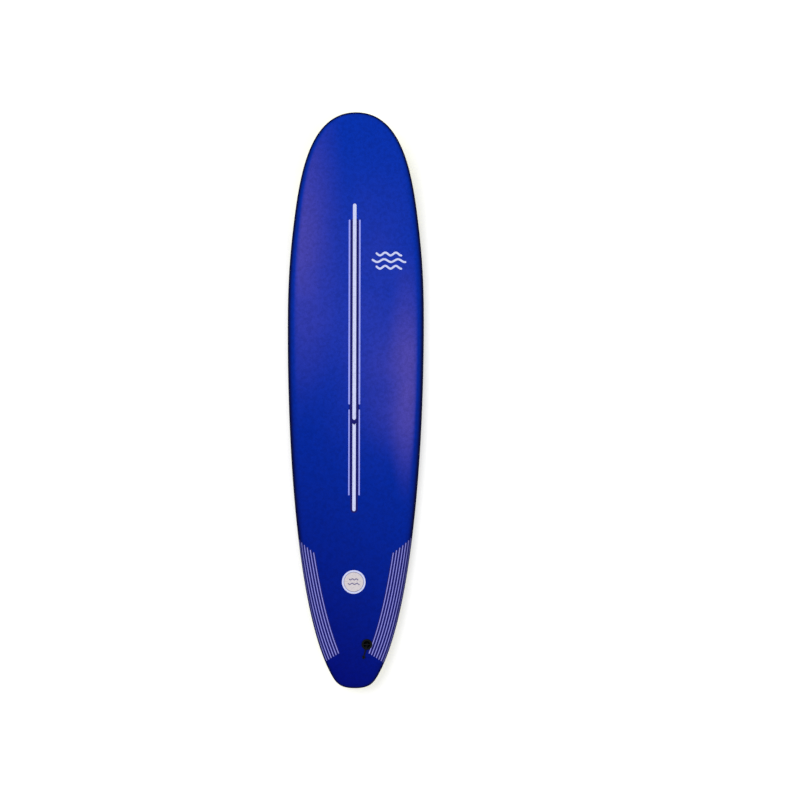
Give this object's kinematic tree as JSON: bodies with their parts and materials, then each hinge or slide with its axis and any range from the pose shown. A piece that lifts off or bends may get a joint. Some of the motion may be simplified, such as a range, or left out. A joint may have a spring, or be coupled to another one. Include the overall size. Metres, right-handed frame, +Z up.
{
  "type": "soft-top surfboard",
  "caption": "Soft-top longboard lying deck up: foam-skinned deck, slick bottom, timber-stiffened foam core, fin boxes with clamp screws, and a leash plug with its string.",
  "frame": {"origin": "middle of the board's length and width, on the flat of the bottom that the board rests on", "axes": "+Y towards the nose along the centreline, +Z up through the deck, +X to the right seen from the tail"},
  "size_m": [0.578, 2.438, 0.1551],
  "materials": {
    "deck_foam": "matte",
    "laminate": "matte",
    "slick": "satin",
    "core_foam": "matte",
    "timber": "matte",
    "box_plastic": "satin",
    "dense_foam": "matte",
    "plug_plastic": "satin",
    "steel": "satin",
    "cord": "matte"
  },
  "bodies": {
    "board": {"deck_skin": "deck_foam", "deck_laminate": "laminate", "bottom_slick": "slick", "bottom_laminate": "laminate", "core_left_outer": "core_foam", "core_left_inner": "core_foam", "core_right_inner": "core_foam", "core_right_outer": "core_foam", "stringer_left": "timber", "stringer_centre": "timber", "stringer_right": "timber", "fin_box_centre": "box_plastic", "fin_block_centre": "dense_foam", "fin_box_left": "box_plastic", "fin_block_left": "dense_foam", "fin_box_right": "box_plastic", "fin_block_right": "dense_foam", "leash_cup": "plug_plastic", "leash_bar": "steel", "leash_block": "dense_foam", "leash_string": "cord", "leash_knot": "cord"},
    "fin_screw_centre": {"fin_screw_centre": "steel"},
    "fin_screw_left": {"fin_screw_left": "steel"},
    "fin_screw_right": {"fin_screw_right": "steel"}
  },
  "joints": [
    {"name": "fin_screw_centre_travel", "type": "slide", "parent": "board", "child": "fin_screw_centre", "axis": [0, -0.5026, 0.8645], "range_m": [0, 0.004]},
    {"name": "fin_screw_left_travel", "type": "slide", "parent": "board", "child": "fin_screw_left", "axis": [-0.0134, -0.5319, 0.8467], "range_m": [0, 0.004]},
    {"name": "fin_screw_right_travel", "type": "slide", "parent": "board", "child": "fin_screw_right", "axis": [0.0134, -0.5319, 0.8467], "range_m": [0, 0.004]}
  ]
}
